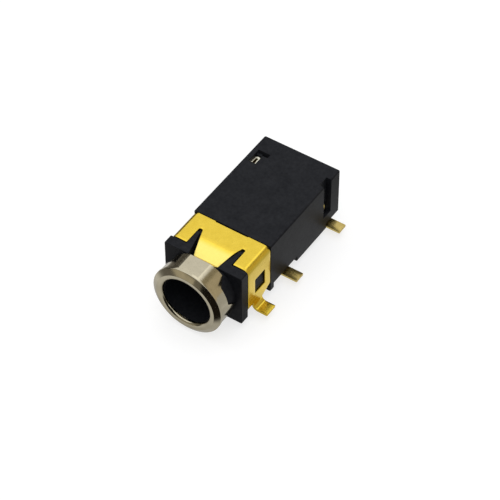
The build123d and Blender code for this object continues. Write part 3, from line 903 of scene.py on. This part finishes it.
def make_clip(material):
    """The clip: its top, side plates with windows, and feet, from one flat outline."""
    track = clip_track()
    side_from, side_to = track.runs[2][0], track.runs[3][0]

    def flat_at(z):
        """Flat width at a height on the side plate."""
        return track.length_at(1, z, side_from, side_to)

    front, rear = CLIP.y0, CLIP.y1
    foot_front = front + CLIP_FOOT_FRONT
    foot_rear = foot_front + CLIP_FOOT_W
    front_low = flat_at(BOARD_Z + CLIP_FRONT_LOW)
    rear_low = flat_at(BOARD_Z + CLIP_REAR_LOW)
    slot_end = ROOT_Y + SLOT_LEN
    r = CORNER_ROUND
    right = [
        (slot_inner_x(SEAM_Y), SEAM_Y, 0.0), (SLOT_OUTER - SLOT_TIP_W, slot_end, SLOT_ROUND),
        (SLOT_OUTER, slot_end, SLOT_ROUND), (SLOT_OUTER, front, r),
        (front_low, front, r), (front_low, foot_front, r), (track.length, foot_front, r),
        (track.length, foot_rear, r), (side_to, foot_rear, r), (rear_low, rear, r),
        (NICK_HALF, rear, r / 2), (NICK_HALF, rear - NICK_DEPTH, r / 2),
    ]
    left = [(-u, v, radius) for u, v, radius in reversed(right)]
    window_front = front + WINDOW_FRONT
    high, low = flat_at(WINDOW_HALF_H), flat_at(-WINDOW_HALF_H)
    window = [(high, window_front, r), (low, window_front, r),
              (low, window_front + WINDOW_LEN, r), (high, window_front + WINDOW_LEN, r)]
    loops = [rounded(right + left), rounded(window),
             rounded([(-u, v, radius) for u, v, radius in window])]
    half = track.stations() + spaced(side_from, side_to, SIDE_STEP)
    across = sorted(set(half + [-u for u in half] + spaced(-SLOT_OUTER, SLOT_OUTER, TOP_STEP)))
    along = spaced(front, rear, LENGTH_STEP)

    def fold(u, v, h):
        point, normal = track.at(abs(u))
        place = point + normal * h
        return Vector((math.copysign(place.x, u), v, place.y))

    clip = folded_sheet("clip_sheet", loops, (across, along), fold, material, (1, SEAM_Y))
    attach(clip, "socket")
    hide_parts("ground_clip")


def tongue_track():
    """Middle line of the tongue, in Y and Z, from the seam to its end."""
    fall = math.tan(math.radians(TONGUE_SLOPE))
    knee_z = SHEET_MID_Z - (ROOT_Y - TONGUE_KNEE_Y) * fall
    return Track([(SEAM_Y, SHEET_MID_Z), (ROOT_Y, SHEET_MID_Z), (TONGUE_KNEE_Y, knee_z),
                  (TONGUE_CREST_Y, TONGUE_CREST_Z),
                  (TONGUE_END_Y, TONGUE_CREST_Z + TONGUE_END_RISE)],
                 [ROOT_BEND_R, TONGUE_KNEE_R, TONGUE_CREST_R])


def make_tongue(material):
    """The tongue, which bends over its root with the clip's top."""
    track = tongue_track()
    root = track.length_at(0, ROOT_Y, 0.0, track.length)
    end_y = track.at(track.length)[0].x
    end_half = ROOT_HALF + TONGUE_TAPER * (end_y - ROOT_Y)
    right = [(slot_inner_x(SEAM_Y), 0.0, 0.0), (ROOT_HALF, root, 0.0),
             (end_half, track.length, TONGUE_END_ROUND)]
    left = [(-u, v, radius) for u, v, radius in reversed(right)]
    across = spaced(-ROOT_HALF, ROOT_HALF, SIDE_STEP)
    along = sorted(track.stations() + spaced(root, track.length, BENT_STEP))

    def fold(u, v, h):
        point, normal = track.at(v)
        place = point - normal * h
        return Vector((u, place.x, place.y))

    tongue = folded_sheet("tongue_sheet", [rounded(right + left)], (across, along), fold,
                          material, (1, 0.0))
    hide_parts("sleeve_spring")
    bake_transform(tongue)


# Nose ring: a section swept round the axis, with a flat on top and two notches behind

RING = NodeBox("nose_ring")
MOUTH_R = 1.83
LEAD_R = 0.24               # room for the round into the mouth
LEAD_ARC_R = LEAD_R * 0.999  # the round itself
LAND = 0.18                 # width of the flat front face
CONE_SLOPE = 33.0           # degrees by which the chamfer leans back
LIP_R = RING.x1
LIP_LEN = 0.46
LIP_WALL = 0.30
BARREL_R = 2.59
RING_WALL = 0.18
FLAT_Z = 2.48
MIN_LEAN = 0.5              # cosine at which the flat is well outside the ring
NOTCH_ANGLE = 67.0          # degrees from the top to a notch's middle
NOTCH_REAR_HALF = 1.15
NOTCH_DEEP_HALF = 0.70
NOTCH_DEPTH = 0.68
NOTCH_ROUND = 0.16
RING_ROUND = 0.03
RING_LIP_ROUND = 0.05
RING_STEP = 3.0             # degrees round the ring, and finer beside the notches
RING_FINE_STEP = 0.5
NOTCH_REACH = 32.0          # degrees on each side of a notch that have the finer step


def notch_outline():
    """Depth of a notch against the distance from its middle, as a rounded line."""
    far = NOTCH_REAR_HALF * 2
    corners = [(0, -1, 0), (far, -1, 0), (far, 0, 0), (NOTCH_REAR_HALF, 0, RING_LIP_ROUND),
               (NOTCH_DEEP_HALF, NOTCH_DEPTH, NOTCH_ROUND), (0, NOTCH_DEPTH, 0)]
    return rounded(corners)[2:]


def ring_rear(angle, notch):
    """Where the ring ends at an angle, in degrees from the top."""
    from_middle = math.radians(abs(abs(angle) - NOTCH_ANGLE))
    distance = BARREL_R * math.sin(min(from_middle, math.pi / 2))
    for outer, inner in zip(notch, notch[1:]):
        if inner.x <= distance <= outer.x:
            share = (outer.x - distance) / max(outer.x - inner.x, LEVEL_EDGE)
            return RING.y1 - (outer.y + (inner.y - outer.y) * share)
    return RING.y1


def ring_section(angle, notch):
    """Closed section of the ring at an angle: places along Y against radius."""
    front = RING.y0
    lip_rear = front + LIP_LEN
    land_r = MOUTH_R + LEAD_R + LAND
    flare = (LIP_R - land_r) * math.tan(math.radians(CONE_SLOPE))
    lean = max(math.cos(math.radians(angle)), MIN_LEAN)
    outer = min(BARREL_R, FLAT_Z / lean)
    inner = min(BARREL_R - RING_WALL, (FLAT_Z - RING_WALL) / lean)
    back = front + LIP_WALL
    rear = ring_rear(angle, notch)
    small = RING_ROUND / 2
    return rounded([
        (front, MOUTH_R, LEAD_ARC_R), (front, land_r, RING_LIP_ROUND),
        (front + flare, LIP_R, RING_LIP_ROUND), (lip_rear, LIP_R, small),
        (lip_rear, outer, small), (rear, outer, RING_ROUND), (rear, inner, RING_ROUND),
        (back, inner, small), (back, MOUTH_R, RING_ROUND),
    ])


def ring_angles():
    """Angles round the ring in degrees: even steps, finer beside each notch and flat edge."""
    crease = math.degrees(math.acos(FLAT_Z / BARREL_R))
    found = set()
    angle = -180.0
    while angle < 180.0 - RING_FINE_STEP:
        found.add(round(angle, 3))
        beside_notch = abs(abs(angle) - NOTCH_ANGLE) < NOTCH_REACH
        angle += RING_FINE_STEP if beside_notch else RING_STEP
    return sorted(found | {round(-crease, 3), round(crease, 3)})


def make_nose_ring(material):
    """The ring, skinned over its sections all the way round."""
    notch = notch_outline()
    vertices = []
    sections = []
    for angle in ring_angles():
        turn = math.radians(angle)
        section = ring_section(angle, notch)
        sections.append(range(len(vertices), len(vertices) + len(section)))
        vertices += [Vector((p.y * math.sin(turn), p.x, p.y * math.cos(turn))) for p in section]
    faces = []
    for here, ahead in pairs(sections):
        for i in range(len(here)):
            j = (i + 1) % len(here)
            faces.append((here[i], here[j], ahead[j], ahead[i]))
    ring = link_mesh("turned_ring", vertices, faces, material)
    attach(ring, "socket")
    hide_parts("nose_ring")


# Contacts: each is one strip on the real socket, foot, plate, bend and blade

PLATE_LEN = 1.00
U_MID_R = 0.18              # middle line of the U bend between plate and blade
FOOT_BEND_R = 0.15
STRIP_H = 0.60              # strips from plate to foot stand this high above the foot's bend
FOOT_W = 0.82
BLADE_X = 2.20
BLADE_STRAIGHT = 0.30
BLADE_BEND_R = 1.00
BLADE_CORNER = 0.10
BLADE_END_ROUND = 0.20
BUMP_R = 0.40
BUMP_X = 1.50
ROOT_LEN = 0.55             # the blade is higher from its root to here
ROOT_TAPER = 0.25
STRIP_REACH = 4.0           # no foot lies further than this from its plate's rear end
STRAIGHT_TOP = 3.0          # height at which the flat drawing of a contact starts
BLADE_SEAM = PLATE_LEN + math.pi * U_MID_R     # flat place where plate and blade are parted


def flat_height(z):
    """Flat coordinate of a height on the straight part of a contact."""
    return STRAIGHT_TOP - z


@dataclass
class Contact:
    """Sizes of one contact in millimetres, with its sheet's two middle lines."""

    name: str
    body: str
    side: int               # 1 on the right and -1 on the left
    way: int                # 1 where the blade runs rearward and -1 where forward
    root_y: float
    bump: float             # distance from the root to the bump, and to the end
    end: float
    end_x: float
    low: float              # lower and upper edge of the blade
    high: float
    root_high: float        # upper edge of the plate and of the blade's root
    end_low: float
    end_high: float
    foot_front: float

    def __post_init__(self):
        plate_x = BLADE_X + 2 * U_MID_R
        foot_z = BOARD_Z + SHEET / 2
        self.plan = Track(
            [(plate_x, self.at(PLATE_LEN)), (plate_x, self.at(-U_MID_R)),
             (BLADE_X, self.at(-U_MID_R)), (BLADE_X, self.at(BLADE_STRAIGHT)),
             (BUMP_X, self.at(self.bump)), (self.end_x, self.at(self.end))],
            [U_MID_R, U_MID_R, BLADE_BEND_R, BUMP_R])
        self.drop = Track([(plate_x, STRAIGHT_TOP), (plate_x, foot_z), (CLIP.x1, foot_z)],
                          [FOOT_BEND_R + SHEET / 2])

    def at(self, distance):
        """Y at a distance from the root."""
        return self.root_y + self.way * distance

    def fold(self, u, v, h):
        """Place of a flat point: u runs along the plan of the strip, v down from its top."""
        fall, fall_normal = self.drop.at(v)
        if v > flat_height(self.low) + CORNER_ROUND:
            point = Vector((self.plan.at(0.0)[0].x, self.at(PLATE_LEN - u)))
            normal = Vector((self.way, 0.0))
        else:
            point, normal = self.plan.at(u)
        out = self.way * h
        x = point.x + fall.x - self.drop.at(0.0)[0].x + normal.x * fall_normal.x * out
        y = point.y + normal.y * fall_normal.x * out
        return Vector((self.side * x, y, fall.y + fall_normal.y * h))


MIDDLE_CONTACT = dict(way=-1, root_y=6.0, bump=1.70, end=2.20, end_x=1.98, low=-0.45, high=0.45,
                      root_high=0.60, end_low=-0.28, end_high=0.28, foot_front=5.0)
CONTACTS = (
    Contact("ring_two", "ring_two_blade", 1, **MIDDLE_CONTACT),
    Contact("detect", "detect_blade", -1, **MIDDLE_CONTACT),
    Contact("ring_one", "ring_one_blade", -1, way=-1, root_y=9.82, bump=2.52, end=3.09,
            end_x=1.98, low=-0.45, high=0.45, root_high=1.85, end_low=-0.28, end_high=0.28,
            foot_front=10.30),
    Contact("tip", "tip_blade", 1, way=1, root_y=7.30, bump=2.15, end=3.22,
            end_x=2.62, low=-0.80, high=0.12, root_high=0.30, end_low=-0.80, end_high=-0.16,
            foot_front=10.30),
)


def terminal_outline(c):
    """Flat outline of plate and foot: the foot may lie beside the plate or below it."""
    near, far = sorted((c.way * (c.foot_front - c.root_y),
                        c.way * (c.foot_front + FOOT_W - c.root_y)))
    bend = BOARD_Z + SHEET + FOOT_BEND_R
    strip_top = flat_height(bend + STRIP_H)
    strip_low = flat_height(bend)
    foot_end = c.drop.length

    def corner(distance, v):
        return PLATE_LEN - distance, v, CORNER_ROUND

    corners = [corner(PLATE_LEN, flat_height(c.root_high)),
               (BLADE_SEAM, flat_height(c.root_high), 0.0),
               (BLADE_SEAM, flat_height(c.low), 0.0), corner(0.0, flat_height(c.low))]
    if near != 0.0:
        v = strip_top if near < 0.0 else strip_low
        corners += [corner(0.0, v), corner(near, v), corner(near, foot_end)]
    corners.append(corner(far, foot_end))
    if far != PLATE_LEN:
        v = strip_top if far > PLATE_LEN else strip_low
        corners += [corner(far, v), corner(PLATE_LEN, v)]
    return corners


def blade_outline(c):
    """Flat outline of the blade, from its seam to its rounded end."""
    def walked(distance):
        return c.plan.length_at(1, c.at(distance), BLADE_SEAM, c.plan.length)

    end = c.plan.length
    corners = [
        (BLADE_SEAM, c.root_high, 0.0), (walked(ROOT_LEN), c.root_high, BLADE_CORNER),
        (walked(ROOT_LEN + ROOT_TAPER), c.high, BLADE_CORNER),
        (walked(c.bump), c.high, BLADE_CORNER), (end, c.end_high, BLADE_END_ROUND),
        (end, c.end_low, BLADE_END_ROUND), (walked(c.bump), c.low, BLADE_CORNER),
        (BLADE_SEAM, c.low, 0.0),
    ]
    return [(u, flat_height(z), radius) for u, z, radius in corners]


def make_contact(c, material):
    """The fixed strip of a contact, and its blade, which bends over its root."""
    seam = (0, BLADE_SEAM)
    rows = sorted(set(spaced(flat_height(c.root_high), flat_height(BOARD_Z), SIDE_STEP)
                      + c.drop.stations()))
    columns = sorted(set(c.plan.stations()
                         + spaced(PLATE_LEN - STRIP_REACH, PLATE_LEN, LENGTH_STEP)))
    fixed = folded_sheet(c.name + "_strip", [rounded(terminal_outline(c))], (columns, rows),
                         c.fold, material, seam)
    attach(fixed, "socket")
    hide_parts(c.name + "_terminal")
    columns = sorted(set(c.plan.stations() + spaced(BLADE_SEAM, c.plan.length, BENT_STEP)))
    blade = folded_sheet(c.name + "_blade_strip", [rounded(blade_outline(c))], (columns, rows),
                         c.fold, material, seam)
    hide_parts(c.name + "_spring")
    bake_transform(blade)


# Housing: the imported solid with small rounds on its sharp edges

HOUSING_ROUND = 0.03
HOUSING_ROUND_STEPS = 2
HOUSING_EDGE_ANGLE = math.radians(40)
HOUSING_FLAT_ANGLE = math.radians(0.5)
HOUSING_WELD = 1e-3


def finish_housing(material):
    """Give the CAD node its plastic, and modifiers that leave its own mesh alone."""
    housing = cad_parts["housing"]
    for slot in housing.material_slots:
        slot.material = material
    weld = housing.modifiers.new("weld", "WELD")
    weld.merge_threshold = HOUSING_WELD * MM
    flat = housing.modifiers.new("plain_faces", "DECIMATE")
    flat.decimate_type = "DISSOLVE"
    flat.angle_limit = HOUSING_FLAT_ANGLE
    edges = housing.modifiers.new("small_rounds", "BEVEL")
    edges.width = HOUSING_ROUND * MM
    edges.segments = HOUSING_ROUND_STEPS
    edges.limit_method = "ANGLE"
    edges.angle_limit = HOUSING_EDGE_ANGLE
    edges.use_clamp_overlap = True
    housing.modifiers.new("large_faces_lead", "WEIGHTED_NORMAL")


make_stage()
finish_housing(plastic_material())
make_nose_ring(nickel_material())
# the clip's gold carries a painted highlight on its tongue
clip_gold = gold_material("clip_gold", CLIP_COLOURS, CLIP_ROUGHNESS, CLIP_GRAIN, tongue_painted_highlight)
make_clip(clip_gold)
make_tongue(clip_gold)
# the contacts' gold carries bare metal and a painted highlight on their upper edges
contact_gold = gold_material("contact_gold", CONTACT_COLOURS, CONTACT_ROUGHNESS,
                             CONTACT_GRAIN, bare_edges_and_highlight)
for contact in CONTACTS:
    make_contact(contact, contact_gold)
